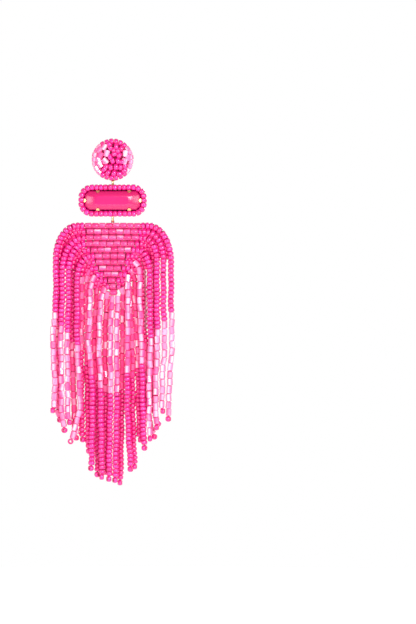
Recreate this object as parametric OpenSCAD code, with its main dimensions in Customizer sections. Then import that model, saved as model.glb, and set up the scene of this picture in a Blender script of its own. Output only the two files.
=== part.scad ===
// Dangle earring: a beaded button on an ear post, a set bar below it on a small ring, and a
// woven panel with a fringe of bead strands below that on a second ring.
// Millimetres. Z is up and the front faces -Y. The origin is the middle of the button's back,
// where the post leaves it.

/* [Button] */
// Diameter of the button over its beads
button_d = 15; // [14.5:0.1:15.2]
// How far the top of the dome stands in front of its back
button_h = 4.9; // [4.5:0.1:5.6]
// Diameter of the gold pad behind the button
pad_d = 12; // [11.6:0.1:12.2]

/* [Ear post] */
// Diameter of the post
post_d = 0.8; // [0.7:0.05:1]
// Length of the post behind the pad
post_l = 10; // [9:0.5:12]

/* [Rings and eyes] */
// Radius of a jump ring to the middle of its wire
ring_r = 1.35; // [1.3:0.01:1.38]
// Wire of a jump ring
ring_wire = 0.7; // [0.6:0.05:0.75]
// Radius of a soldered eye to the middle of its wire
eye_r = 0.72; // [0.7:0.01:0.76]
// Wire of a soldered eye
eye_wire = 0.5; // [0.4:0.05:0.55]
// Height of the upper ring's middle
upper_ring_z = -8.13; // [-8.2:0.01:-8.1]
// Height of the lower ring's middle
lower_ring_z = -20.6; // [-20.65:0.01:-20.55]

/* [Bar] */
// Height of the bar's middle
bar_z = -14.52; // [-14.6:0.01:-14.45]
// Width of the bead string's centre line round the stone
rim_w = 22.2; // [22:0.1:22.4]
// Height of the bead string's centre line round the stone
rim_h = 9.3; // [9.2:0.1:9.4]
// Corner radius of the bead string's centre line
rim_corner = 3.8; // [3:0.1:3.8]
// Thickness of the bead string's solid
rim_d = 1.9; // [1.7:0.1:1.9]
// How far the beads round the button and the bar lie in front of the back
bead_row_f = 2.4; // [2.4:0.1:2.6]
// Thickness of the gold plates
plate_t = 0.8; // [0.6:0.1:0.9]

/* [Stone] */
// Length of the stone
stone_w = 19.7; // [19:0.1:19.7]
// Height of the stone
stone_h = 6.6; // [6.2:0.1:6.6]
// Length of the flat table
table_w = 13; // [11:0.1:14]
// Height of the flat table
table_h = 3.4; // [2.8:0.1:4]
// Cut taken off each corner of the stone
corner_cut = 1.4; // [1:0.1:1.5]
// How far the table stands in front of the back
table_f = 4.4; // [4:0.1:4.8]
// Width of a prong
prong_w = 1.2; // [1:0.1:1.6]

/* [Panel] */
// Height of the top row of tube beads
top_row_z = -23.4; // [-23.6:0.1:-23.4]
// Distance from one row to the next
row_pitch = 2.16; // [2.14:0.01:2.2]
// Thickness of a row
row_d = 2.1; // [2:0.02:2.1]
// Thread of the loop on the lower ring
loop_thread = 0.3; // [0.25:0.05:0.35]

/* [Fringe] */
// Thickness of a strand where it is seed beads
seed_d = 2.1; // [1.8:0.02:2.1]
// Thickness of a strand where it is cut beads
cut_d = 1.88; // [1.6:0.02:1.88]
// How far the front and back layers of strands lie from the panel's middle
layer_y = 1.12; // [1.1:0.01:1.3]

/* [Hidden] */
// Left and right end of the tube beads in each woven row, the top row first
row_ends = [
    [-9.9, 10], [-9.3, 9], [-9.5, 9.3], [-9.5, 7.7], [-7.7, 6.5], [-6.3, 4.4],
    [-6, 4.3], [-4.9, 2.9], [-3.1, 2], [-1.7, 1], [-1, 1.1], [-1, 1.5],
];
last_row = len(row_ends);

// Heights at which the table gives a strand's place
level_z = [-50, -65, -78, -88];
// One strand to a line, from left to right: the row it leaves, its side (-1 left, 0 middle,
// 1 right), its layer (-1 front, 1 back), whether seeds are its upper beads (1) or its lower ones
// (0), where its beads change kind, x where it starts to turn down (undef where it hangs straight
// from under its row), x at the four levels, x and z at its end
ROW = 0; SIDE = 1; LAYER = 2; SEEDS_ON_TOP = 3; CHANGE_Z = 4; TURN_X = 5; LEVEL_X = 6;
END_X = 7; END_Z = 8;
strands = [
    [1, -1, -1, 1, -54, -12.5, [-20.2, -21.2, -20.6, -20.8], -21.4, -90],
    [2, -1, 1, 1, -57.6, -11.6, [-19.1, -19.7, -19.4, -19.5], -18.9, -93.4],
    [3, -1, -1, 1, -58.9, -10.6, [-17.9, -18.4, -18.1, -18.1], -17.1, -97],
    [4, -1, -1, 1, -61.3, -10, [-15.7, -16.2, -15.9, -16], -15.4, -94.2],
    [5, -1, 1, 1, -64.8, -8.6, [-14.3, -14.5, -14.1, -13.8], -13.1, -99.8],
    [6, -1, -1, 1, -65.7, -8, [-12.6, -12.6, -12, -11.7], -15, -101],
    [7, -1, 1, 0, -67.8, -8.4, [-11.1, -11.25, -11.25, -11.1], -10.8, -100.4],
    [8, -1, 1, 0, -71.5, -7, [-9.2, -9.2, -9.1, -8.9], -8.6, -104.5],
    [9, -1, -1, 0, -76.3, -4.9, [-7.9, -8.4, -7.4, -7.2], -7.6, -110.5],
    [10, -1, 1, 0, -78.5, -4, [-5.9, -6.6, -5.9, -5.6], -5.4, -112.8],
    [11, -1, -1, 0, -81, -1.5, [-4.35, -4.8, -4.3, -4.2], -3.8, -113.6],
    [12, -1, 1, 0, -82.4, -1.15, [-2.2, -2.8, -2.6, -2.6], -2.8, -112],
    [12, 0, -1, 0, -83, undef, [-0.35, -0.8, -0.7, -0.8], -1.3, -114.3],
    [12, 1, -1, 0, -82.4, undef, [1.7, 1.4, 1.5, 1.4], 0.9, -114.7],
    [11, 1, 1, 0, -81.5, 2, [3.6, 3.4, 3.3, 3.2], 2.6, -115.7],
    [10, 1, 1, 0, -77.4, 3.8, [5.95, 6.85, 6.95, 7], 7.7, -110],
    [9, 1, -1, 0, -75.6, 4.4, [5.4, 5.3, 5.2, 5.2], 6.4, -110.8],
    [8, 1, 1, 0, -74, 5.3, [7.9, 8.8, 9.1, 9.2], 9.7, -100.5],
    [7, 1, -1, 0, -72.4, 7.2, [9.6, 10.2, 10.5, 10.7], 11.2, -103.3],
    [6, 1, 1, 1, -65, 7.5, [10.8, 11.4, 11.8, 12.3], 14.6, -99.4],
    [5, 1, -1, 1, -63.2, 8.9, [13.1, 13.4, 13, 12.9], 13.2, -100],
    [4, 1, 1, 1, -61, 10, [14.1, 14.6, 14.4, 14.9], 16, -94.8],
    [3, 1, -1, 1, -60, 11, [15.7, 15.9, 15.3, 15.3], 15.5, -96],
    [2, 1, -1, 1, -57.2, 12, [18, 18.4, 17.6, 17.5], 17.7, -90.2],
    [1, 1, -1, 1, -54, 12.6, [20.7, 21, 20.2, 19.8], 19.7, -93],
];

// Clearance between neighbouring solids that aren't soldered
gap = 0.1;
// Clearance between a row's last tube and the first bead of its strand
strand_gap = 0.12;
// Depth of the stone's back, girdle and girdle edge in front of the plate's back
stone_back_f = plate_t + gap;
girdle_back_f = 2.1;
girdle_front_f = 3;
// How much narrower the stone's back is than its girdle, all round
stone_taper = 1.2;
// A prong's sheet, its clearance from the stone and its reach over the bevel
prong_t = 0.24;
prong_gap = 0.06;
prong_reach = 0.6;
// Places of the upper and lower prongs along the bar, from the photo's tips
prong_x = [-5.2, 5.9];
// How far each plate stays inside the bead string's centre line
plate_inset = 0.35;
// Thickness of the threads that join one woven row to the next
web_t = 1;
// Round sides of the true curves, and of the strands' tubes
$fn = 64;
tube_sides = 8;
// Tallest step between two rings of a strand's tube, and the steps round its shoulder
ring_step = 6;
shoulder_steps = 5;
// Length over which a strand moves from the panel's middle into its layer
layer_run = 6;

function strand_name(s) = str("strand_", ["l", "m", "r"][s[SIDE] + 1], s[ROW] < 10 ? "0" : "",
    s[ROW]);

function row_z(row) = top_row_z - row_pitch * (row - 1);
function smooth(u) = let (c = min(1, max(0, u))) c * c * (3 - 2 * c);
function unit(v) = v / norm(v);

function hangs_under(s) = is_undef(s[TURN_X]);

// The knots of a strand's fall, from the foot of its shoulder to its end: [z, x] each
function shoulder_a(s) = abs(s[LEVEL_X][0] - s[TURN_X]);
function shoulder_b(s) = let (a = shoulder_a(s)) min((1.5 + 0.07 * s[ROW]) * a, a * a / 1.1);
function fall_top(s) = hangs_under(s)
    ? row_z(s[ROW]) - row_d / 2 - strand_gap
    : row_z(s[ROW]) - shoulder_b(s);
function fall_knots(s) = concat(
    [[fall_top(s), s[LEVEL_X][0]]],
    [for (i = [0:3]) if (level_z[i] < fall_top(s) - 1 && level_z[i] > s[END_Z] + 0.5)
        [level_z[i], s[LEVEL_X][i]]],
    [[s[END_Z], s[END_X]]]
);

// Slope of the fall at a knot: level at the shoulder's foot, the mean of the neighbours further down
function knot_slope(k, i) =
    i == 0 ? 0
    : i == len(k) - 1 ? (k[i][1] - k[i - 1][1]) / (k[i][0] - k[i - 1][0])
    : (k[i + 1][1] - k[i - 1][1]) / (k[i + 1][0] - k[i - 1][0]);

// x at height z between knots i and i + 1, on the cubic curve with those slopes
function fall_x(k, i, z) = let (
    h = k[i + 1][0] - k[i][0],
    t = (z - k[i][0]) / h
) (2 * pow(t, 3) - 3 * t * t + 1) * k[i][1] + (pow(t, 3) - 2 * t * t + t) * h * knot_slope(k, i)
    + (3 * t * t - 2 * pow(t, 3)) * k[i + 1][1] + (pow(t, 3) - t * t) * h * knot_slope(k, i + 1);

// Points [x, z] of the flat start and the quarter ellipse of the shoulder
function shoulder_points(s) = hangs_under(s) ? [] : let (
    z = row_z(s[ROW]),
    x_start = row_ends[s[ROW] - 1][s[SIDE] < 0 ? 0 : 1] + s[SIDE] * strand_gap,
    a = shoulder_a(s),
    b = shoulder_b(s)
) concat(
    abs(s[TURN_X] - x_start) > 0.3 ? [[x_start, z]] : [],
    [for (i = [0:shoulder_steps - 1]) let (t = 90 * i / shoulder_steps)
        [s[TURN_X] + s[SIDE] * a * sin(t), z - b + b * cos(t)]]
);

// Points [x, z] of the fall, no more than ring_step apart
function fall_points(s) = let (k = fall_knots(s)) concat(
    [for (i = [0:len(k) - 2]) let (n = ceil((k[i][0] - k[i + 1][0]) / ring_step))
        for (j = [0:n - 1]) let (z = k[i][0] + (k[i + 1][0] - k[i][0]) * j / n)
            [fall_x(k, i, z), z]],
    [[s[END_X], s[END_Z]]]
);

// The whole route in the panel's plane, then moved into the strand's layer over layer_run
function run_lengths(p, i = 0, sum = 0) = i == len(p) ? [] :
    let (here = i == 0 ? 0 : sum + norm(p[i] - p[i - 1])) concat([here], run_lengths(p, i + 1, here));
function strand_route(s) = let (
    p = concat(shoulder_points(s), fall_points(s)),
    run = run_lengths(p)
) [for (i = [0:len(p) - 1]) [p[i][0], s[LAYER] * layer_y * smooth(run[i] / layer_run), p[i][1]]];

function bead_radius(s, z) = ((z > s[CHANGE_Z] ? 1 : 0) == s[SEEDS_ON_TOP] ? seed_d : cut_d) / 2;

// Direction of a route at point i: square to the row's end or bottom at the start
function direction(s, route, i) =
    i > 0 ? unit(route[min(i + 1, len(route) - 1)] - route[i - 1])
    : hangs_under(s) ? [0, 0, -1]
    : [s[SIDE], 0, 0];

// One ring of a tube: its corners round point p, square to direction t
function tube_ring(p, t, r) = let (n = unit(cross(t, [0, 1, 0])), b = cross(t, n))
    [for (j = [0:tube_sides - 1]) p + r * (cos(360 * j / tube_sides) * n + sin(360 * j / tube_sides) * b)];

// A closed body through rings of the same number of corners, capped at both ends
module loft(rings) {
    n = len(rings[0]);
    m = len(rings);
    polyhedron(
        points = [for (r = rings) for (p = r) p],
        faces = concat(
            [[for (j = [0:n - 1]) j]],
            [for (i = [0:m - 2]) for (j = [0:n - 1]) let (k = (j + 1) % n)
                [i * n + j, (i + 1) * n + j, (i + 1) * n + k, i * n + k]],
            [[for (j = [n - 1:-1:0]) (m - 1) * n + j]]
        )
    );
}

// Turns a shape drawn upwards so that it grows towards the front
module to_front() {
    rotate([90, 0, 0]) children();
}

// A wire ring round the X axis (a jump ring) or the Y axis (a soldered eye)
module torus(r, wire) {
    rotate_extrude() translate([r, 0]) circle(d = wire);
}

module eye(z) {
    translate([0, 0, z]) to_front() torus(eye_r, eye_wire);
}

module jump_ring(z) {
    translate([0, 0, z]) rotate([0, 90, 0]) torus(ring_r, ring_wire);
}

// A rectangle with round corners, from straight bars and four discs
module round_box(w, h, r) {
    square([w - 2 * r, h], center = true);
    square([w, h - 2 * r], center = true);
    for (x = [-1, 1], y = [-1, 1])
        translate([x * (w / 2 - r), y * (h / 2 - r)]) circle(r);
}

// The eight corners of a rectangle with cut corners, at distance f in front of the back
function cut_box(w, h, c, f) = let (x = w / 2, z = h / 2)
    [for (p = [[x, z - c], [x - c, z], [c - x, z], [-x, z - c],
               [-x, c - z], [c - x, -z], [x - c, -z], [x, c - z]]) [p[0], -f, p[1]]];

module ear_post() {
    color("gold") {
        to_front() cylinder(h = plate_t, d = pad_d);
        rotate([-90, 0, 0]) cylinder(h = post_l, d = post_d);
        eye(upper_ring_z + ring_r);
    }
}

module button() {
    edge_r = 1.07;
    edge_at = button_d / 2 - edge_r;
    rise = button_h - bead_row_f - 0.75 * edge_r;
    dome_r = (edge_at * edge_at + rise * rise) / (2 * rise);
    color("hotpink") to_front() rotate_extrude() {
        translate([edge_at, bead_row_f]) circle(edge_r);
        intersection() {
            translate([0, button_h - dome_r]) circle(dome_r, $fn = 256);
            translate([0, plate_t + gap]) square([edge_at, button_h]);
        }
    }
}

module ring_upper() {
    color("gold") jump_ring(upper_ring_z);
}

// One prong: a tab that stands beside the stone, with its tip bent down over the bevel.
// half is the stone's half size there and slope the bevel's rise for each millimetre inwards.
module prong(half, slope) {
    inner = half + prong_gap;
    elbow = girdle_front_f + prong_gap;
    rise = prong_reach * slope;
    to_front() intersection() {
        rotate([90, 0, 0]) translate([0, 0, -prong_w / 2]) linear_extrude(prong_w) polygon([
            [inner, plate_t / 2],
            [inner + prong_t, plate_t / 2],
            [inner + prong_t, elbow + prong_t * 0.6],
            [inner - prong_reach, elbow + rise + prong_t * 1.5],
            [inner - prong_reach, elbow + rise],
            [inner, elbow],
        ]);
        linear_extrude(2 * table_f) {
            translate([inner - prong_reach + prong_w / 2, 0]) circle(d = prong_w);
            translate([inner - prong_reach + prong_w / 2, -prong_w / 2]) square(prong_w);
        }
    }
}

module bar_setting() {
    rise = table_f - girdle_front_f;
    color("gold") {
        eye(upper_ring_z - ring_r);
        eye(lower_ring_z + ring_r);
        translate([0, 0, bar_z]) {
            to_front() linear_extrude(plate_t)
                round_box(rim_w - 2 * plate_inset, rim_h - 2 * plate_inset, rim_corner);
            for (turn = [0, 180])
                rotate([0, turn, 0]) prong(stone_w / 2, 2 * rise / (stone_w - table_w));
            for (x = prong_x, turn = [90, -90])
                translate([x, 0, 0]) rotate([0, turn, 0])
                    prong(stone_h / 2, 2 * rise / (stone_h - table_h));
        }
    }
}

module bar_stone() {
    back_w = stone_w - 2 * stone_taper;
    back_h = stone_h - 2 * stone_taper;
    color("deeppink") translate([0, 0, bar_z]) loft([
        cut_box(back_w, back_h, corner_cut / 2, stone_back_f),
        cut_box(stone_w, stone_h, corner_cut, girdle_back_f),
        cut_box(stone_w, stone_h, corner_cut, girdle_front_f),
        cut_box(table_w, table_h, corner_cut / 2, table_f),
    ]);
}

module bar_rim() {
    long = rim_w / 2 - rim_corner;
    short = rim_h / 2 - rim_corner;
    color("hotpink") translate([0, -bead_row_f, bar_z]) to_front() {
        for (turn = [0, 180]) rotate(turn) {
            translate([-long, rim_h / 2, 0]) rotate([0, 90, 0]) cylinder(h = 2 * long, d = rim_d);
            translate([rim_w / 2, short, 0]) rotate([90, 0, 0]) cylinder(h = 2 * short, d = rim_d);
            translate([long, short, 0])
                rotate_extrude(angle = 90) translate([rim_corner, 0]) circle(d = rim_d);
            translate([-long, short, 0]) rotate(90)
                rotate_extrude(angle = 90) translate([rim_corner, 0]) circle(d = rim_d);
        }
    }
}

module ring_lower() {
    color("gold") jump_ring(lower_ring_z);
}

module panel() {
    loop_r = 0.62;
    color("palevioletred") {
        for (i = [0:last_row - 1])
            translate([row_ends[i][0], 0, row_z(i + 1)]) rotate([0, 90, 0])
                cylinder(h = row_ends[i][1] - row_ends[i][0], d = row_d);
        for (i = [0:last_row - 2]) {
            left = max(row_ends[i][0], row_ends[i + 1][0]) + gap;
            right = min(row_ends[i][1], row_ends[i + 1][1]) - gap;
            translate([left, -web_t / 2, row_z(i + 2)]) cube([right - left, web_t, row_pitch]);
        }
        translate([0, 0, lower_ring_z - ring_r]) to_front() torus(loop_r, loop_thread);
    }
}

module strand(s) {
    route = strand_route(s);
    color(s[SEEDS_ON_TOP] == 1 ? "deeppink" : "lightpink") loft([for (i = [0:len(route) - 1])
        tube_ring(route[i], direction(s, route, i), bead_radius(s, route[i][2]))]);
}

ear_post();
button();
ring_upper();
bar_setting();
bar_stone();
bar_rim();
ring_lower();
panel();
for (s = strands)
    strand(s);
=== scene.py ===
from collections import namedtuple

import bpy
import numpy as np
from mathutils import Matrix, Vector


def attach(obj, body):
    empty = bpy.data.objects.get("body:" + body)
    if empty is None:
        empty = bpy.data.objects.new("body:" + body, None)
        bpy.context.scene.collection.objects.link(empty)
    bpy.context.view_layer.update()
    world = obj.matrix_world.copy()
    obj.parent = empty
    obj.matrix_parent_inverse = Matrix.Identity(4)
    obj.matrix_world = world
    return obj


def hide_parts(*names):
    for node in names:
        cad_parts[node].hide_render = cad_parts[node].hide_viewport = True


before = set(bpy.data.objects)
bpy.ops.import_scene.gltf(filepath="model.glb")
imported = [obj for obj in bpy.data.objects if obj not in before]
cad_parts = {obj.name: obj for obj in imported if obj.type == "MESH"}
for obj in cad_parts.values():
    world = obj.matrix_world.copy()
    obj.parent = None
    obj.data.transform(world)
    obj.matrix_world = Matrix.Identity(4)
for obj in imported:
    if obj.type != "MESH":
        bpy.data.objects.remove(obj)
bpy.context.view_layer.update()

# Camera, floor and studio light. The earring hangs free in a bright white studio and is seen
# level from its front through a long lens. A soft box stands beside the camera, one on either
# side and one behind, and the white room lights it from all round.
MM = 0.001
picture_height = 221.5 * MM
camera_at = np.array([33.8, -1202, -54]) * MM
sensor = 36
room_strength = 0.4
floor_z = -190 * MM
floor_radius = 0.6
floor_sides = 96


class Shade:
    """One socket of a material's nodes. Arithmetic on it adds the Math nodes that work it out."""

    def __init__(self, tree, socket=None):
        self.tree = tree
        self.socket = socket

    def node(self, kind, inputs, output=0, stops=(), **settings):
        """Adds a node: its settings and colour stops first, then its sockets' values or links."""
        made = self.tree.nodes.new("ShaderNode" + kind)
        for name, value in settings.items():
            setattr(made, name, value)
        for number, (place, colour) in enumerate(stops):
            ramp = made.color_ramp.elements
            stop = ramp[number] if number < len(ramp) else ramp.new(place)
            stop.position = place
            stop.color = colour
        for name, value in inputs.items():
            if isinstance(value, Shade):
                self.tree.links.new(value.socket, made.inputs[name])
            else:
                made.inputs[name].default_value = value
        return Shade(self.tree, made.outputs[output] if len(made.outputs) else None)

    def math(self, operation, *values):
        return self.node("Math", dict(enumerate(values)), operation=operation)

    def __add__(self, other):
        return self.math("ADD", self, other)

    def __sub__(self, other):
        return self.math("SUBTRACT", self, other)

    def __rsub__(self, other):
        return self.math("SUBTRACT", other, self)

    def __mul__(self, other):
        return self.math("MULTIPLY", self, other)

    __radd__ = __add__
    __rmul__ = __mul__

    def mix(self, low, high):
        """The colour from low to high as this value goes from 0 to 1."""
        return self.node("Mix", {0: self, 6: low, 7: high}, 2, data_type="RGBA")


def paint(red, green, blue):
    """The linear colour of a paint that a screen shows with these 0 to 255 values."""
    screen = np.array([red, green, blue]) / 255
    linear = np.where(screen < 0.04045, screen / 12.92, ((screen + 0.055) / 1.055) ** 2.4)
    return (*linear.tolist(), 1.0)


def new_material(name):
    """An empty material and a Shade to start its nodes from."""
    made = bpy.data.materials.new(name)
    made.use_nodes = True
    made.node_tree.nodes.clear()
    return made, Shade(made.node_tree)


def finish_surface(start, **sockets):
    """Ends a material in one Principled shader; an underscore stands for a name's space."""
    inputs = {name.replace("_", " "): value for name, value in sockets.items()}
    surface = start.node("BsdfPrincipled", inputs)
    start.node("OutputMaterial", {"Surface": surface})


def link_object(name, data):
    made = bpy.data.objects.new(name, data)
    bpy.context.scene.collection.objects.link(made)
    return made


def soft_box(name, place, side, watts):
    """A square light with sides that long, in metres, that faces the middle of the earring."""
    light = bpy.data.lights.new(name, "AREA")
    light.size = side
    light.energy = watts
    lamp = link_object(name, light)
    lamp.location = place
    to_earring = Vector((0, 0, camera_at[2])) - lamp.location
    lamp.rotation_euler = to_earring.to_track_quat("-Z", "Y").to_euler()


lens = bpy.data.cameras.new("camera")
lens.sensor_width = sensor
lens.lens = sensor * abs(camera_at[1]) / picture_height
camera = link_object("camera", lens)
camera.location = camera_at
camera.rotation_euler = (np.pi / 2, 0, 0)
bpy.context.scene.camera = camera
bpy.context.scene.view_settings.view_transform = "Standard"

soft_box("soft_box_front", (0.3, -0.9, 0.26), 0.3, 5.2)
soft_box("soft_box_left", (-0.66, -0.62, 0.05), 0.4, 2.6)
soft_box("soft_box_right", (0.66, -0.62, 0.08), 0.4, 2.4)
soft_box("soft_box_behind", (0.35, 0.9, 0.25), 0.4, 2.5)

world = bpy.data.worlds.new("white_room")
world.use_nodes = True
world.node_tree.nodes.clear()
bpy.context.scene.world = world
room = Shade(world.node_tree)
seen = room.node("LightPath", {}, "Is Camera Ray")
backdrop = room.node("Background", {"Color": (1, 1, 1, 1), "Strength": 1.0})
walls = room.node("Background", {"Color": (1, 1, 1, 1), "Strength": room_strength})
room.node("OutputWorld", {"Surface": room.node("MixShader", {0: seen, 1: walls, 2: backdrop})})

floor_mesh = bpy.data.meshes.new("floor")
turn = np.linspace(0, 2 * np.pi, floor_sides, endpoint=False)
rim = np.stack([np.cos(turn), np.sin(turn), np.zeros(floor_sides)], axis=1) * floor_radius
floor_mesh.from_pydata(rim + (0, 0, floor_z), [], [list(range(floor_sides))])
floor_paint, start = new_material("white_floor")
finish_surface(start, Base_Color=(0.95, 0.95, 0.95, 1), Roughness=0.7,
               Emission_Color=(1, 1, 1, 1), Emission_Strength=0.55)
floor_mesh.materials.append(floor_paint)
link_object("floor", floor_mesh)

# Ear post. A round plate of pale gold metal with a straight post soldered to its back, which
# goes through the ear, and a small eye soldered under it, which carries the upper ring.
gold, start = new_material("pale_gold")
place = start.node("TexCoord", {}, "Object")
cloud = start.node("TexNoise", {"Vector": place, "Scale": 500, "Detail": 3})
polish = start.node("TexNoise", {"Vector": place, "Scale": 6000, "Detail": 2})
finish_surface(
    start,
    Base_Color=cloud.mix(paint(240, 196, 128), paint(250, 222, 170)),
    Metallic=1.0,
    Roughness=0.16 + 0.14 * cloud,
    Normal=start.node("Bump", {"Height": polish, "Strength": 0.05, "Distance": 0.05 * MM}),
)


def plate_gold(node):
    """Gives a gold solid its finish."""
    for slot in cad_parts[node].material_slots:
        slot.material = gold


plate_gold("ear_post")

# Button. A dome of pink felt on a stiff backing, covered with beads that are sewn on one by
# one: opaque hot pink seed beads over the middle, pale cut beads at its left and right, and a
# round of beads along its edge.
rng = np.random.default_rng(5)
seed_radius = 1.1
seed_pitch = 1.53
seed_sides = 10
cut_radius = 1.03
cut_pitch = 2.6
cut_sides = 8
# A little over a full turn: seeds are rolled anyhow about their thread
any_roll = 6.3
# Share of the cut beads that are lilac, and how far they go to it
lilac_share = 0.2
lilac_tint = 0.2
# The edge beads stand on a round of this radius, and those at its sides are cut beads
edge_round = 6.43
edge_depth = 2.4
edge_count = 25
edge_fill = 0.95
side_from = 0.68
# The line that the beads' middles keep over the dome
dome_foot = 1.9
dome_rise = 1.9
dome_round = 6.9
# Beads sewn on the dome: their size over plain ones, and their lengths
dome_size = 1.1
dome_seed_length = 1.6
dome_cut_length = 2.4
felt_sides = 32
# Bead places on the dome: across, up, and the turn of the bead's hole from level, in degrees
dome_seeds = np.array([
    [-0.8, 4.0, 30], [1.3, 4.4, 0], [3.1, 3.8, -30], [0.7, 1.8, 100], [2.4, 1.4, -30],
    [0.0, -0.5, 20], [1.9, -0.6, 15], [-0.7, -2.8, 10], [1.2, -2.7, 0], [2.8, -2.8, -10],
    [-2.9, -3.5, -45], [-1.6, -4.7, -40], [0.5, -4.9, -20], [2.4, -5.1, 90], [4.2, -4.0, -60],
    [-0.9, 0.8, 20], [4.4, -2.4, -20], [-1.2, 5.3, 40], [1.9, 3.0, 10], [3.3, -0.9, 80],
    [-2.3, -2.6, -40], [0.4, 3.2, 20],
])
dome_cuts = np.array([
    [-2.9, 4.4, 58], [-4.4, 1.4, 72], [-2.0, 2.1, 80], [-2.6, -0.6, -48], [-4.4, -1.8, -55],
    [4.5, 2.1, 85], [4.2, -0.7, 75], [-4.6, 3.3, 60], [-4.9, -0.2, -75], [5.4, 0.6, 85],
])

seed_glass, start = new_material("hot_pink_seed_glass")
# The tone carries each seed's random tone with its painted highlight and painted shade
tone = start.node("Attribute", {}, "Fac", attribute_name="tone")
place = start.node("TexCoord", {}, "Object")
cloud = start.node("TexNoise", {"Vector": place, "Scale": 1500, "Detail": 2})
finish_surface(
    start,
    Base_Color=(0.7 * tone + 0.3 * cloud).mix(paint(224, 0, 98), paint(255, 28, 158)),
    Roughness=0.32 + 0.1 * cloud,
    Specular_IOR_Level=1.0,
    Specular_Tint=(1, 0.6, 1, 1),
    Coat_Weight=0.8,
    Coat_Roughness=0.14,
    Normal=start.node("Bump", {"Height": cloud, "Strength": 0.15, "Distance": 0.05 * MM}),
)

cut_glass, start = new_material("pink_lined_cut_glass")
# The tone carries the colour of the lined glass with a painted glint on it, and painted light towards
# the fringe's sides
tone = start.node("Attribute", {}, "Fac", attribute_name="tone")
lilac = start.node("Attribute", {}, "Fac", attribute_name="tint")
place = start.node("TexCoord", {}, "Object")
cloud = start.node("TexNoise", {"Vector": place, "Scale": 1200, "Detail": 2})
lining_and_painted_glint = start.node("ValToRGB", {0: tone + 0.24 * cloud - 0.12}, stops=(
    (0.0, paint(244, 15, 115)),
    (0.3, paint(250, 84, 156)),
    (0.65, paint(250, 156, 193)),
    (0.88, paint(254, 212, 227)),
    (1.0, paint(255, 248, 251)),
))
finish_surface(
    start,
    Base_Color=start.node("Mix", {0: lilac, 6: lining_and_painted_glint, 7: paint(240, 200, 245)}, 2, data_type="RGBA"),
    Roughness=0.12 + 0.12 * cloud,
    Coat_Weight=0.6,
    Coat_Roughness=0.04,
)

# The felt's dark colour is partly its dye and partly painted shade where it shows between and under the
# beads
felt, start = new_material("pink_felt_darkened_as_shade")
place = start.node("TexCoord", {}, "Object")
fibres = start.node("TexNoise", {"Vector": place, "Scale": 5000, "Detail": 4, "Roughness": 0.7})
finish_surface(
    start,
    Base_Color=fibres.mix(paint(115, 0, 48), paint(190, 4, 88)),
    Roughness=0.85,
    Sheen_Weight=0.3,
    Normal=start.node("Bump", {"Height": fibres, "Strength": 0.5, "Distance": 0.1 * MM}),
)


class Piece:
    """Gathers beads and threads, in millimetres, and makes them one piece. A material's number is
    its place in the list that make is given."""

    def __init__(self):
        self.points = []
        self.point_looks = []
        self.faces = []
        self.face_looks = []
        self.count = 0

    def add(self, points, faces, material=0, tone=0.0, tint=0.0, smooth=True):
        """Adds points with their tone and tint, and faces with their material's number and
        smoothness: one value for all or one each."""
        self.points.append(points)
        self.faces += [[corner + self.count for corner in face] for face in faces]
        self.count += len(points)
        look = np.empty((2, len(points)))
        look[0] = tone
        look[1] = tint
        self.point_looks.append(look)
        look = np.empty((2, len(faces)))
        look[0] = material
        look[1] = smooth
        self.face_looks.append(look)

    def make(self, name, materials, body, slot, *nodes):
        mesh = bpy.data.meshes.new(name)
        mesh.from_pydata(np.concatenate(self.points) * MM, [], self.faces)
        for material in materials:
            mesh.materials.append(material)
        tone, tint = np.concatenate(self.point_looks, axis=1)
        number, smooth = np.concatenate(self.face_looks, axis=1)
        mesh.polygons.foreach_set("material_index", number.astype(int))
        mesh.polygons.foreach_set("use_smooth", smooth.astype(bool))
        mesh.attributes.new("tone", "FLOAT", "POINT").data.foreach_set("value", tone)
        mesh.attributes.new("tint", "FLOAT", "POINT").data.foreach_set("value", tint)
        made = link_object(name, mesh)
        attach(made, body)
        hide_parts(*nodes)


def turned_bead(profile, sides):
    """Points and quads of a closed profile (radius, place along) carried round the bead's hole:
    x = radius cos(turn), y = radius sin(turn), z = place along."""
    radius, along = np.array(profile).T
    turn = np.arange(sides) * 2 * np.pi / sides
    ring = np.stack([np.cos(turn), np.sin(turn)], axis=1)
    flat = ring[:, None, :] * radius[:, None]
    points = np.concatenate([flat, np.broadcast_to(along[:, None], (sides, len(radius), 1))], axis=2)
    side, corner = np.meshgrid(np.arange(sides), np.arange(len(radius)), indexing="ij")
    next_side = (side + 1) % sides * len(radius)
    next_corner = (corner + 1) % len(radius)
    side = side * len(radius)
    quads = np.stack([side + corner, next_side + corner, next_side + next_corner,
                      side + next_corner], axis=2)
    return points.reshape(-1, 3), quads.reshape(-1, 4)


# Profiles for a radius and a length of 1, from the lower rim of the outside round to the hole, and
# how light a seed is painted at each corner of its profile: a painted highlight round its middle
# and painted shade towards the grooves between beads
seed_profile = [(0.8, -0.5), (1, -0.2), (1, 0.2), (0.8, 0.5), (0.4, 0.4), (0.4, -0.4)]
seed_painted_shade = np.array([0.2, 1, 1, 0.2, 0, 0])
seed_bead = turned_bead(seed_profile, seed_sides)
cut_profile = [(0.82, -0.5), (1, -0.43), (1, 0.43), (0.82, 0.5), (0.42, 0.5), (0.42, -0.5)]
cut_bead = turned_bead(cut_profile, cut_sides)


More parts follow.
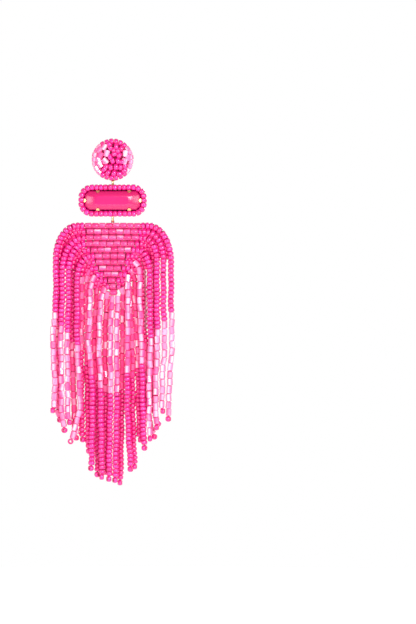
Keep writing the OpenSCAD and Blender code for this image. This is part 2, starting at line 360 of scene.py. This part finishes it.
def place_beads(bead, centres, holes, rolls, radii, lengths):
    """Copies of a bead. Its point (x, y, z) goes to centre + radius (x across + y over) +
    length z hole, where across and over are square to the hole and turned by the roll."""
    points, quads = bead
    hole = holes / np.linalg.norm(holes, axis=1, keepdims=True)
    level = np.where(np.abs(hole[:, 2:]) > 0.9, [[1.0, 0, 0]], [[0, 0, 1.0]])
    across = np.cross(hole, level)
    across /= np.linalg.norm(across, axis=1, keepdims=True)
    over = np.cross(hole, across)
    cos, sin = np.cos(rolls)[:, None], np.sin(rolls)[:, None]
    across, over = cos * across + sin * over, cos * over - sin * across
    spread = points[:, 0, None] * across[:, None] + points[:, 1, None] * over[:, None]
    placed = centres[:, None] + radii[:, None, None] * spread
    placed = placed + (lengths[:, None] * points[:, 2])[:, :, None] * hole[:, None]
    numbers = quads[None] + np.arange(len(centres))[:, None, None] * len(points)
    return placed.reshape(-1, 3), numbers.reshape(-1, 4).tolist()


def string_seeds(piece, material, centres, holes, lengths, depth=0.0, size=1.0):
    """Adds seed beads: pressed glass, so each is a little wider, thicker or darker than the next.
    Each is painted lightest round its middle and darker towards its ends, a painted highlight and
    painted shade. The depth, 0 to 1, makes them all darker, painted shade for beads that lie
    behind others, and the size wider, all alike or each its own."""
    count = len(centres)
    radii = seed_radius * size * rng.uniform(0.95, 1.0, count)
    rolls = rng.uniform(0, any_roll, count)
    points, quads = place_beads(seed_bead, centres, holes, rolls, radii, lengths)
    tone = rng.uniform(0.4, 1, count) * (1 - depth)
    piece.add(points, quads, material, (tone[:, None] * np.tile(seed_painted_shade, seed_sides)).ravel())


def string_cuts(piece, material, centres, holes, lengths, paleness, share, plain, size=1.0):
    """Adds cut beads with eight facets. The lined glass shows pale in front and behind, strongly in
    that share of the beads and by the plain amount in the others, and less towards their sides:
    partly the colour of the lined glass, partly a painted highlight for the glint of the light.
    The ends stay deep pink. The paleness, 0 to 1, lightens all of it."""
    count = len(centres)
    radii = cut_radius * size * rng.uniform(0.95, 1.0, count)
    rolls = rng.normal(0, 0.4, count)
    points, quads = place_beads(cut_bead, centres, holes, rolls, radii, lengths)
    glint = np.where(rng.random(count) < share, rng.uniform(0.55, 1.0, count),
                     rng.uniform(0.7, 1.3, count) * plain)[:, None]
    # Round the bead: front, between, side, between, and then the same behind; the painted
    # highlight is brightest in front and behind
    corner = np.arange(cut_sides)[None] % 4
    side_tone = np.choose(corner, [glint, 0.12 + 0.3 * glint, 0.2, 0.12 + 0.25 * glint])
    side_tone = side_tone + (1 - side_tone) * paleness
    tone = np.full((count, cut_sides, len(cut_profile)), 0.05 + 0.3 * paleness)
    tone[:, :, 1] = side_tone
    tone[:, :, 2] = side_tone
    tint = np.repeat(lilac_tint * (rng.random(count) < lilac_share), len(cut_bead[0]))
    piece.add(points, quads, material, tone.ravel(), tint, smooth=False)


def skin(rings):
    """Points and faces of a closed skin over rings of the same number of points: quads from
    each ring to the next, and a flat face over the first ring and the last."""
    count, sides = rings.shape[:2]
    ring, side = np.meshgrid(np.arange(count - 1) * sides, np.arange(sides), indexing="ij")
    after = (side + 1) % sides
    quads = np.stack([ring + side, ring + after, ring + sides + after, ring + sides + side], axis=2)
    faces = quads.reshape(-1, 4).tolist()
    faces.append(list(range(sides - 1, -1, -1)))
    faces.append(list(range((count - 1) * sides, count * sides)))
    return rings.reshape(-1, 3), faces


def dome_depth(across, up):
    """How far the middle of a bead on the dome stands in front of the back: an ellipse,
    foot + rise sqrt(1 - (r / round)^2) at the distance r from the dome's middle."""
    return dome_foot + dome_rise * np.sqrt(1 - (across**2 + up**2) / dome_round**2)


button = Piece()
# Depth and radius of the felt's rings, from the back over the edge to the top of the dome
dome_felt = np.array([(0.95, 5.9), (0.95, 6.3), (1.8, 6.45), (2.4, 6.0), (2.75, 5), (3.1, 3.6),
                      (3.3, 2), (3.35, 0.6)])
turn = np.arange(felt_sides) * 2 * np.pi / felt_sides
circle = np.stack([np.cos(turn), np.zeros(felt_sides), np.sin(turn)], axis=1)
dome = dome_felt[:, 1, None, None] * circle - np.array([0, 1, 0]) * dome_felt[:, 0, None, None]
button.add(*skin(dome), material=2)

turn = (np.arange(edge_count) + 0.5) * 2 * np.pi / edge_count
centres = np.stack([edge_round * np.cos(turn), np.full(edge_count, -edge_depth),
                    edge_round * np.sin(turn)], axis=1)
holes = np.stack([-np.sin(turn), np.zeros(edge_count), np.cos(turn)], axis=1)
lengths = np.full(edge_count, 2 * np.pi * edge_round / edge_count)
at_side = np.abs(np.cos(turn)) > side_from
string_seeds(button, 0, centres[~at_side], holes[~at_side], lengths[~at_side] * edge_fill)
string_cuts(button, 1, centres[at_side], holes[at_side], lengths[at_side], paleness=0.1,
            share=0.5, plain=0.6)


def sew_on(places, string, material, length, **looks):
    """Sews beads on the dome at (across, up, turn of the hole from level)."""
    across, up, turn = places.T
    turn = np.radians(turn)
    centres = np.stack([across, -dome_depth(across, up), up], axis=1)
    holes = np.stack([np.cos(turn), np.zeros(len(turn)), np.sin(turn)], axis=1)
    string(button, material, centres, holes, np.full(len(turn), length), size=dome_size, **looks)


sew_on(dome_seeds, string_seeds, 0, dome_seed_length)
sew_on(dome_cuts, string_cuts, 1, dome_cut_length, paleness=0.1, share=0.4, plain=0.45)
button.make("beaded_button", [seed_glass, cut_glass, felt], "top", "seed_bead", "button")

# Upper ring and bar setting. The ring is round gold wire. The setting is a gold plate with six
# prongs bent over the stone and an eye soldered on above and below.
plate_gold("ring_upper")
plate_gold("bar_setting")

# Stone. One long opaque pink stone with a flat table, bevels all round and cut corners, ground
# and polished, and held by the prongs.
bar_z = -14.52
stone_sides = 8
# Width, height, corner cut and depth of the back, of the girdle's two edges and of the table, and
# of the round edge between bevel and table where it starts and where it runs out
stone_back = (17.3, 4.2, 0.7, 0.9)
girdle = np.array([(19.7, 6.6, 1.4, 2.1), (19.7, 6.6, 1.4, 3.0)])
table = np.array((13, 3.4, 0.7, 4.4))
round_start = girdle[1] + 0.25 * (table - girdle[1])
round_end = np.array((11, 2.6, 0.6, 4.4))
round_steps = 12

opaque_pink, start = new_material("opaque_pink_stone")
place = start.node("TexCoord", {}, "Object")
layers = start.node("Mapping", {"Vector": place, "Scale": (25, 120, 260)})
cloud = start.node("TexNoise", {"Vector": layers, "Scale": 1, "Detail": 3})
# Tone is 0 on the bevels and 1 on the table: painted shade on the bevels
painted_table_light = start.node("Attribute", {}, "Fac", attribute_name="tone")
cloud_and_painted_shade = 0.5 * cloud + 0.5 * painted_table_light
finish_surface(
    start,
    Base_Color=start.node("ValToRGB", {0: cloud_and_painted_shade}, stops=((0.2, paint(196, 0, 92)),
                                                                 (0.8, paint(232, 12, 113)))),
    Roughness=0.22 + 0.08 * cloud,
    Coat_Weight=0.5,
    Coat_Roughness=0.18,
)


def cut_corner_ring(width, height, cut, depth):
    """The eight corners of a rectangle with cut corners, anticlockwise from the front."""
    x, z = width / 2, height / 2
    corners = np.array([(x, cut - z), (x, z - cut), (x - cut, z), (cut - x, z), (-x, z - cut),
                        (-x, cut - z), (cut - x, -z), (x - cut, -z)])
    return np.stack([corners[:, 0], np.full(stone_sides, -depth), corners[:, 1] + bar_z], axis=1)


# The round edge is a quadratic curve: (1 - t)^2 start + 2 t (1 - t) table + t^2 end
t = np.linspace(0, 1, round_steps)[:, None]
round_edge = (1 - t)**2 * round_start + 2 * t * (1 - t) * table + t**2 * round_end
rings = [stone_back, *girdle, *round_edge]
# The taper, the girdle, the back and the table are flat, and the bevel's round edge is smooth
smooth = np.ones(stone_sides * (len(rings) - 1) + 2)
smooth[:2 * stone_sides] = 0
smooth[-2:] = 0
# The colour is painted deeper on the bevels than on the table: painted shade on the bevels
tone = np.repeat(np.concatenate([[0, 0, 0], t[:, 0]]), stone_sides)
stone = Piece()
stone.add(*skin(np.array([cut_corner_ring(*ring) for ring in rings])), tone=tone, smooth=smooth)
stone.make("cut_stone", [opaque_pink], "bar", "stone", "bar_stone")

# Bead string round the stone. Seed beads on one thread that runs round the stone's side, held
# down on the gold plate.
rim_w = 22.2
rim_h = 9.3
rim_corner = 3.8
rim_depth = 2.4
rim_pitch = 1.66
thread_radius = 0.17
thread_sides = 6
# Share of its length of thread that a bead fills, and how far to each side of its middle the
# thread's direction is taken
bead_fill = 0.98
bead_reach = 0.3

# The thread's dark colour is partly its dye, partly painted shade among the beads; the bare thread,
# with tone 1, shows its paler colour
thread, start = new_material("pink_beading_thread")
place = start.node("TexCoord", {}, "Object")
bare_thread = start.node("Attribute", {}, "Fac", attribute_name="tone")
strands_of_thread = start.node("TexNoise", {"Vector": place, "Scale": 9000, "Detail": 2})
dyed_and_shaded = strands_of_thread.mix(paint(115, 0, 48), paint(190, 12, 92))
finish_surface(
    start,
    Base_Color=start.node("Mix", {0: bare_thread, 6: dyed_and_shaded, 7: paint(205, 110, 140)}, 2, data_type="RGBA"),
    Roughness=0.6,
    Normal=start.node("Bump", {"Height": strands_of_thread, "Strength": 0.4, "Distance": 0.04 * MM}),
)


def thread_along(path, radius):
    """Skin of a thread: at each point of the path a circle of that radius, square to the path."""
    ahead = np.gradient(path, axis=0)
    ahead /= np.linalg.norm(ahead, axis=1, keepdims=True)
    across = np.cross(ahead, [0.0, 1.0, 0.0])
    across /= np.linalg.norm(across, axis=1, keepdims=True)
    over = np.cross(ahead, across)
    turn = (np.arange(thread_sides) * 2 * np.pi / thread_sides)[None, :, None]
    rings = path[:, None] + radius * (np.cos(turn) * across[:, None] + np.sin(turn) * over[:, None])
    return skin(rings)


def run_of(path):
    """Run length along a path at each of its points."""
    return np.concatenate([[0], np.cumsum(np.linalg.norm(np.diff(path, axis=0), axis=1))])


def strung(path, start, end, pitch, slack=0.05):
    """Centres, hole directions and lengths of the beads strung between two run lengths of a
    path: as many of the pitch as fit, each a little thicker or thinner, tilted by the slack."""
    run = run_of(path)
    share = rng.normal(1, 0.05, max(1, round((end - start) / pitch)))
    edges = start + (end - start) * np.concatenate([[0], np.cumsum(share)]) / share.sum()
    middle = (edges[1:] + edges[:-1]) / 2
    centres, before, after = (
        np.stack([np.interp(at, run, path[:, axis]) for axis in range(3)], axis=1)
        for at in (middle, middle - bead_reach, middle + bead_reach)
    )
    holes = (after - before) / (2 * bead_reach) + rng.normal(0, slack, centres.shape)
    return centres, holes, np.diff(edges) * bead_fill


# Round corners one after the other, anticlockwise, in steps of 6 degrees; the straight sides
# join them
quarter = np.arange(0, 91, 6)
corner_turn = np.radians(np.concatenate([quarter, quarter + 90, quarter + 180, quarter + 270]))
corner = np.repeat(np.arange(4), len(quarter))
corner_x = np.array([1, -1, -1, 1])[corner] * (rim_w / 2 - rim_corner)
corner_z = np.array([1, 1, -1, -1])[corner] * (rim_h / 2 - rim_corner)
rim_count = len(corner_turn)
rim_path = np.stack([corner_x + rim_corner * np.cos(corner_turn), np.full(rim_count, -rim_depth),
                     bar_z + corner_z + rim_corner * np.sin(corner_turn)], axis=1)
rim_path = np.vstack([rim_path, rim_path[:1]])
rim_run = run_of(rim_path)[-1]

# The felt under the beads, as (depth, way out from the thread's line) round its section. It has a
# thin lip that lies on the plate up to the stone. It is partly the backing of the beadwork and
# partly a dark sheet that stands in for the shade in the slit round the stone.
felt_and_shade_section = [(0.83, -1.7), (0.83, 0.35), (1.9, 0.35), (1.9, -1), (0.88, -1), (0.88, -1.7)]
outward = np.stack([np.cos(corner_turn), np.zeros(rim_count), np.sin(corner_turn)], axis=1)
felt_and_shade_rings = np.array([rim_path[:-1] * (1, 0, 1) + out * outward - (0, depth, 0)
                       for depth, out in felt_and_shade_section])

bar_beads = Piece()
string_seeds(bar_beads, 0, *strung(rim_path, 0, rim_run, rim_pitch))
bar_beads.add(*thread_along(rim_path[:-1], thread_radius), material=1)
# Quads from each line of the felt's section to the next, and on round from the last to the first
line, along = np.meshgrid(np.arange(len(felt_and_shade_section)), np.arange(rim_count), indexing="ij")
after = (along + 1) % rim_count
next_line = (line + 1) % len(felt_and_shade_section) * rim_count
line = line * rim_count
quads = np.stack([line + along, line + after, next_line + after, next_line + along], axis=2)
bar_beads.add(felt_and_shade_rings.reshape(-1, 3), quads.reshape(-1, 4).tolist(), material=2, smooth=False)
bar_beads.make("bar_bead_string", [seed_glass, thread, felt], "bar", "seed_bead", "bar_rim")

# Lower ring. A jump ring of round gold wire, bent shut through the setting's lower eye. The
# panel's loop of thread hangs on it.
plate_gold("ring_lower")

# Woven panel. Twelve rows of satin tube beads, most a little shorter than the row above,
# stitched row to row with thread, and hung from the lower ring by three turns of thread.
top_row_z = -23.4
row_pitch = 2.16
tube_radius = 1.07
tube_length = 2.55
tube_sides = 12
# Radii of the threads: through a row, between two rows, from row to row, and in the loop
row_thread = 0.48
joint_thread = 0.28
stitch_thread = 0.14
loop_thread = 0.15
# How far the first two run past their rows' ends, and how far in front of the rows' middle a
# stitch lies, at the rows and between them
row_overrun = 0.15
joint_overrun = 0.3
stitch_depth = 0.55
stitch_bulge = 1.3 * stitch_depth
# The loop goes round three times, from the top row over the lower ring's wire
lower_ring_z = -20.6
ring_r = 1.35
loop_turns = 3
loop_points = 100
loop_half_width = 0.62
loop_half_depth = 0.3
loop_over_wire = 0.62
# Ends of each row, from the top row down
row_ends = [
    (-9.9, 10), (-9.3, 9), (-9.5, 9.3), (-9.5, 7.7), (-7.7, 6.5), (-6.3, 4.4),
    (-6, 4.3), (-4.9, 2.9), (-3.1, 2), (-1.7, 1), (-1, 1.1), (-1, 1.5),
]
# The tubes of each row that shine nearly white, a painted highlight, counted from the left
shining = {1: (2, 4), 2: (1, 4), 3: (2, 4), 4: (1,), 5: (2, 5), 8: (0,), 9: (1,)}

satin_glass, start = new_material("raspberry_satin_glass")
# The tone carries the painted satin sheen and the painted highlights of the shining tubes
tone = start.node("Attribute", {}, "Fac", attribute_name="tone")
place = start.node("TexCoord", {}, "Object")
along_tube = start.node("Mapping", {"Vector": place, "Scale": (250, 4500, 4500)})
streaks = start.node("TexNoise", {"Vector": along_tube, "Scale": 1, "Detail": 3})
satin_and_painted_sheen = start.node("ValToRGB", {0: tone + 0.5 * streaks - 0.25}, stops=(
    (0.0, paint(206, 8, 92)),
    (0.35, paint(238, 50, 132)),
    (0.6, paint(246, 100, 168)),
    (1.0, paint(255, 235, 245)),
))
finish_surface(
    start,
    Base_Color=satin_and_painted_sheen,
    Roughness=0.22 + 0.16 * streaks,
    Coat_Weight=0.4,
    Coat_Roughness=0.1,
)

# How much painted satin sheen each of a tube's twelve sides shows, from the front and downwards:
# most just above the middle, in front and behind, a painted highlight for light from above
painted_sheen_band = np.array([0.5, 0.3, 0.2, 0.2, 0.3, 0.5, 1, 0.7, 0.4, 0.4, 0.7, 1])
tube_profile = [(0.84, -0.5), (1, -0.45), (1, 0.45), (0.84, 0.5), (0.45, 0.5), (0.45, -0.5)]
tube_bead = turned_bead(tube_profile, tube_sides)
panel = Piece()
for row, (left, right) in enumerate(row_ends, start=1):
    row_z = top_row_z - row_pitch * (row - 1)
    count = max(1, round((right - left) / tube_length))
    edges = np.linspace(left, right, count + 1)
    centres = np.stack([(edges[1:] + edges[:-1]) / 2, rng.normal(0, 0.04, count),
                        row_z + rng.normal(0, 0.03, count)], axis=1)
    holes = np.array([1.0, 0, 0]) + rng.normal(0, 0.02, (count, 3))
    points, quads = place_beads(tube_bead, centres, holes, np.zeros(count),
                                tube_radius * rng.uniform(0.97, 1, count),
                                np.diff(edges) * rng.uniform(0.95, 0.99, count))
    shine = rng.uniform(0.2, 0.48, count)
    shine[list(shining.get(row, ()))] = rng.uniform(0.5, 0.8)
    sheen = shine[:, None] + rng.uniform(-0.12, 0.12, (count, tube_sides))
    side_tone = 0.15 + painted_sheen_band[None] * sheen
    tone = np.full((count, tube_sides, len(tube_profile)), 0.05)
    tone[:, :, 1] = side_tone
    tone[:, :, 2] = side_tone
    smooth = np.zeros((count, tube_sides, len(tube_profile)))
    smooth[:, :, 1] = 1
    panel.add(points, quads, tone=tone.ravel(), smooth=smooth.ravel())
    through = np.array([(left - row_overrun, 0, row_z), (right + row_overrun, 0, row_z)])
    panel.add(*thread_along(through, row_thread), material=1)
    if row > 1:
        above_left, above_right = row_ends[row - 2]
        joint_z = row_z + row_pitch / 2
        joint = np.array([(min(left, above_left) - joint_overrun, 0, joint_z),
                          (max(right, above_right) + joint_overrun, 0, joint_z)])
        panel.add(*thread_along(joint, joint_thread), material=1)
        for x in edges[(edges > above_left) & (edges < above_right)]:
            for way in (-1, 1):
                stitch = np.array([(x, way * stitch_depth, row_z), (x, way * stitch_bulge, joint_z),
                                   (x, way * stitch_depth, row_z + row_pitch)])
                panel.add(*thread_along(stitch, stitch_thread), material=1)

turn = np.linspace(0, 2 * np.pi * loop_turns, loop_points)
loop_top = lower_ring_z - ring_r + loop_over_wire
loop = np.stack([loop_half_width * np.sin(turn) * (1 - np.cos(turn)) / 2,
                 np.linspace(-loop_half_depth, loop_half_depth, loop_points),
                 top_row_z + (loop_top - top_row_z) * (1 - np.cos(turn)) / 2], axis=1)
panel.add(*thread_along(loop, loop_thread), material=1)

# A bare length of the weaving thread hangs among the strands on the right: two plies, each
# wound round the thread's line, which goes through these places, across and up
bare_line = np.array([(10.4, -36.2), (11.25, -38.3), (11.4, -41.5), (11.6, -46.2),
                      (11.7, -52), (11.6, -60)])
ply_radius = 0.2
ply_round = 0.17
ply_twist = 2.4
bare_y = -0.1
bare_steps = 120
down = np.linspace(bare_line[0, 1], bare_line[-1, 1], bare_steps)
lay = np.interp(-down, -bare_line[:, 1], bare_line[:, 0])
for ply in (0, np.pi):
    twist = ply_twist * (down - bare_line[0, 1]) + ply
    path = np.stack([lay + ply_round * np.cos(twist), bare_y + ply_round * np.sin(twist), down],
                    axis=1)
    # Tone 1: paler, without the painted shade of the threads among the beads
    panel.add(*thread_along(path, ply_radius), material=1, tone=1.0)
panel.make("woven_panel", [satin_glass, thread], "fringe", "tube_bead", "panel")

# Fringe. A strand of beads leaves each end of each row on the row's own thread, lies level
# beside the row for a few seeds and hangs down. The outer strands are seeds above and cut
# beads below, the inner ones cut beads above and seeds below, and each ends in one turned seed.
# How far a layer lies from the panel's middle, and the run over which a strand eases into it
layer_y = 1.12
layer_run = 6
# From a row to the start of its strands: beside its end, or from its middle down past its edge
strand_gap = 0.12
half_row = 1.05
# How far a loose strand waves to either side, and the height over which that grows
wave = 0.12
wave_turn = 0.55
wave_grows_over = 8
# The four heights at which a strand's x is given. One too near to its foot or end isn't used
level_z = [-50, -65, -78, -88]
above_end = 0.5
below_foot = 1
level_steps = 12
shoulder_steps = 24
fall_steps = 160
# By a strand's layer: how much darker its seeds are, the share of its cut beads that glint, the
# tone of the others, and the cut beads' size over plain ones. The back layer's darker seeds,
# fewer glints and lower tone are painted shade, and the glints are painted highlights
layer_looks = {-1: (0, 0.75, 0.42, 1), 1: (0.4, 0.12, 0.24, 1.07)}
# Cut beads are painted paler towards the sides of the fringe, more on the right: painted light
# where light comes through the fewer strands there. From this far out and over this width
painted_light_left = 0.12
painted_light_right = 0.25
pale_from = 9
pale_over = 10
# Sizes of the hanging seeds and of those on the turn of the shoulder, over plain ones, how far
# from its hanging part the turn begins, and how far out of line beads lie on it and in the cut part
fall_size = 1.05
turn_size = 1.11
turn_from = 0.6
turn_slack = 0.12
cut_slack = 0.08
end_length = 1.45
# Seeds crowd behind the inside of the shoulders of the upper rows, from this far along the strand.
# They are painted much darker, painted shade where they lie behind the front strands
crowded_rows = 10
crowd_from = 0.3
crowd_inward = 1.3
crowd_back = 0.45
crowd_slack = 0.2
crowd_painted_shade = 0.85
crowd_size = 0.85
Strand = namedtuple("Strand", "row side layer flat_seeds change_z turn_x level_x end_x end_z")
# Way that the hole of a strand's last bead points, in degrees from level across, where it is
# known, and how far from level it may point on the others
end_turns = {(2, -1): 30, (3, -1): 55, (6, -1): 90}
any_end_turn = 35
# One strand to a line, from left to right: the row, the side (-1 left, 0 middle, 1 right), the
# layer (-1 front, 1 back), how many seeds lie flat before the cut beads (None where seeds are its
# upper beads), the height where its beads change, x where it turns down (None where it hangs
# straight from under its row), x at the four levels, x and z at its end
strands = [Strand(*line) for line in [
    (1, -1, -1, None, -54, -12.5, [-20.2, -21.2, -20.6, -20.8], -21.4, -90),
    (2, -1, 1, None, -57.6, -11.6, [-19.1, -19.7, -19.4, -19.5], -18.9, -93.4),
    (3, -1, -1, None, -58.9, -10.6, [-17.9, -18.4, -18.1, -18.1], -17.1, -97),
    (4, -1, -1, None, -61.3, -10, [-15.7, -16.2, -15.9, -16], -15.4, -94.2),
    (5, -1, 1, None, -64.8, -8.6, [-14.3, -14.5, -14.1, -13.8], -13.1, -99.8),
    (6, -1, -1, None, -65.7, -8, [-12.6, -12.6, -12, -11.7], -15, -101),
    (7, -1, 1, 2, -67.8, -8.4, [-11.1, -11.25, -11.25, -11.1], -10.8, -100.4),
    (8, -1, 1, 2, -71.5, -7, [-9.2, -9.2, -9.1, -8.9], -8.6, -104.5),
    (9, -1, -1, 2, -76.3, -4.9, [-7.9, -8.4, -7.4, -7.2], -7.6, -110.5),
    (10, -1, 1, 2, -78.5, -4, [-5.9, -6.6, -5.9, -5.6], -5.4, -112.8),
    (11, -1, -1, 1, -81, -1.5, [-4.35, -4.8, -4.3, -4.2], -3.8, -113.6),
    (12, -1, 1, 0, -82.4, -1.15, [-2.2, -2.8, -2.6, -2.6], -2.8, -112),
    (12, 0, -1, 0, -83, None, [-0.35, -0.8, -0.7, -0.8], -1.3, -114.3),
    (12, 1, -1, 0, -82.4, None, [1.7, 1.4, 1.5, 1.4], 0.9, -114.7),
    (11, 1, 1, 1, -81.5, 2, [3.6, 3.4, 3.3, 3.2], 2.6, -115.7),
    (10, 1, 1, 2, -77.4, 3.8, [5.95, 6.85, 6.95, 7], 7.7, -110),
    (9, 1, -1, 2, -75.6, 4.4, [5.4, 5.3, 5.2, 5.2], 6.4, -110.8),
    (8, 1, 1, 2, -74, 5.3, [7.9, 8.8, 9.1, 9.2], 9.7, -100.5),
    (7, 1, -1, 2, -72.4, 7.2, [9.6, 10.2, 10.5, 10.7], 11.2, -103.3),
    (6, 1, 1, None, -65, 7.5, [10.8, 11.4, 11.8, 12.3], 14.6, -99.4),
    (5, 1, -1, None, -63.2, 8.9, [13.1, 13.4, 13, 12.9], 13.2, -100),
    (4, 1, 1, None, -61, 10, [14.1, 14.6, 14.4, 14.9], 16, -94.8),
    (3, 1, -1, None, -60, 11, [15.7, 15.9, 15.3, 15.3], 15.5, -96),
    (2, 1, -1, None, -57.2, 12, [18, 18.4, 17.6, 17.5], 17.7, -90.2),
    (1, 1, -1, None, -54, 12.6, [20.7, 21, 20.2, 19.8], 19.7, -93),
]]


def strand_path(s):
    """Points along a strand's thread: level to where it turns, a quarter ellipse x = turn +
    side reach sin t, z = row - drop + drop cos t, then a cubic Hermite curve through its knots.
    The drop is (1.5 + 0.07 row) reach, and at most reach^2 / 1.1. y eases into its layer by
    3u^2 - 2u^3 over the first part of the run. Below the shoulder a loose strand waves a little,
    x + wave sin(turn z + row)."""
    row_z = top_row_z - row_pitch * (s.row - 1)
    under = s.turn_x is None
    reach = 0 if under else abs(s.level_x[0] - s.turn_x)
    drop = min((1.5 + 0.07 * s.row) * reach, reach**2 / 1.1)
    foot = row_z - half_row - strand_gap if under else row_z - drop
    levels = [(z, x) for z, x in zip(level_z, s.level_x) if s.end_z + above_end < z < foot - below_foot]
    z, x = np.array([(foot, s.level_x[0]), *levels, (s.end_z, s.end_x)]).T
    slope = np.zeros(len(z))
    slope[1:-1] = (x[2:] - x[:-2]) / (z[2:] - z[:-2])
    slope[-1] = (x[-1] - x[-2]) / (z[-1] - z[-2])
    fall_z = np.linspace(foot, s.end_z, fall_steps)
    i = np.clip(np.searchsorted(-z, -fall_z, side="right") - 1, 0, len(z) - 2)
    step = z[i + 1] - z[i]
    t = (fall_z - z[i]) / step
    fall_x = ((2 * t**3 - 3 * t**2 + 1) * x[i] + (t**3 - 2 * t**2 + t) * step * slope[i]
              + (3 * t**2 - 2 * t**3) * x[i + 1] + (t**3 - t**2) * step * slope[i + 1])
    flat = np.stack([fall_x, fall_z], axis=1)
    if not under:
        begin = row_ends[s.row - 1][int(s.side > 0)] + s.side * strand_gap
        level_x = np.linspace(begin, s.turn_x, level_steps)[:-1]
        t = np.linspace(0, np.pi / 2, shoulder_steps)[:-1]
        shoulder = np.stack([s.turn_x + s.side * reach * np.sin(t),
                             row_z - drop + drop * np.cos(t)], axis=1)
        level = np.stack([level_x, np.full(len(level_x), row_z)], axis=1)
        flat = np.concatenate([level if abs(s.turn_x - begin) > 0.3 else level[:0], shoulder, flat])
    path = np.stack([flat[:, 0], np.zeros(len(flat)), flat[:, 1]], axis=1)
    u = np.clip(run_of(path) / layer_run, 0, 1)
    path[:, 1] = s.layer * layer_y * (3 * u**2 - 2 * u**3)
    loose = np.clip((foot - path[:, 2]) / wave_grows_over, 0, 1)
    path[:, 0] += wave * loose * np.sin(wave_turn * path[:, 2] + s.row)
    return path


for s in strands:
    name = "strand_%s%02d" % ("lmr"[s.side + 1], s.row)
    path = strand_path(s)
    run = run_of(path)
    change = np.interp(-s.change_z, -path[:, 2], run)
    last_seed = run[-1] - 2 * seed_radius
    # Painted light: the cut beads grow paler towards the sides of the fringe
    far_out = np.clip((abs(s.end_x) - pale_from) / pale_over, 0, 1)
    paleness = (painted_light_left if s.end_x < 0 else painted_light_right) * far_out
    # The back layer's darker seeds and duller cut beads are painted shade
    depth, share, plain, cut_size = layer_looks[s.layer]
    strand = Piece()
    if s.flat_seeds is None:
        centres, holes, lengths = strung(path, 0, change, seed_pitch)
        on_turn = np.abs(centres[:, 0] - s.level_x[0]) > turn_from
        holes[on_turn] += rng.normal(0, turn_slack, (on_turn.sum(), 3))
        sizes = np.where(on_turn, turn_size, fall_size)
        string_seeds(strand, 0, centres, holes, lengths, depth, sizes)
        string_cuts(strand, 1, *strung(path, change, last_seed, cut_pitch, cut_slack), paleness,
                    share, plain, cut_size)
    else:
        flat_run = s.flat_seeds * seed_pitch
        if s.flat_seeds:
            string_seeds(strand, 0, *strung(path, 0, flat_run, seed_pitch))
        string_cuts(strand, 1, *strung(path, flat_run, change, cut_pitch, cut_slack), paleness,
                    share, plain, cut_size)
        string_seeds(strand, 0, *strung(path, change, last_seed, seed_pitch), depth, fall_size)
    yaw = np.radians(end_turns.get((s.row, s.side), rng.uniform(-any_end_turn, any_end_turn)))
    end = path[-1] + np.array([0, 0, seed_radius])
    end_hole = np.array([[np.cos(yaw), np.sin(yaw), 0]])
    string_seeds(strand, 0, end[None], end_hole, np.array([end_length]))
    strand.add(*thread_along(path[run < run[-1] - seed_radius], thread_radius), material=2)
    if s.row <= crowded_rows:
        # The thread comes back along the inside of the shoulder. The crowd ends where the strand
        # has fallen 1.5 mm and 1.3 times its reach below the row
        ahead = np.gradient(path, axis=0)
        ahead /= np.linalg.norm(ahead, axis=1, keepdims=True)
        inward = s.side * np.stack([ahead[:, 2], np.zeros(len(path)), -ahead[:, 0]], axis=1)
        back = path * (1, 0.5, 1) + crowd_inward * inward + (0, crowd_back, 0)
        fallen = top_row_z - row_pitch * (s.row - 1) - path[:, 2]
        crowd_end = 1.5 + 1.3 * abs(s.level_x[0] - s.turn_x)
        back = back[(run > crowd_from) & (fallen < crowd_end)]
        string_seeds(strand, 0, *strung(back, 0, run_of(back)[-1], seed_pitch, crowd_slack),
                     crowd_painted_shade, crowd_size)
        strand.add(*thread_along(back, thread_radius), material=2)
    slot = "seed_bead" if s.flat_seeds is None else "cut_bead"
    strand.make(name + "_beads", [seed_glass, cut_glass, thread], "fringe", slot, name)
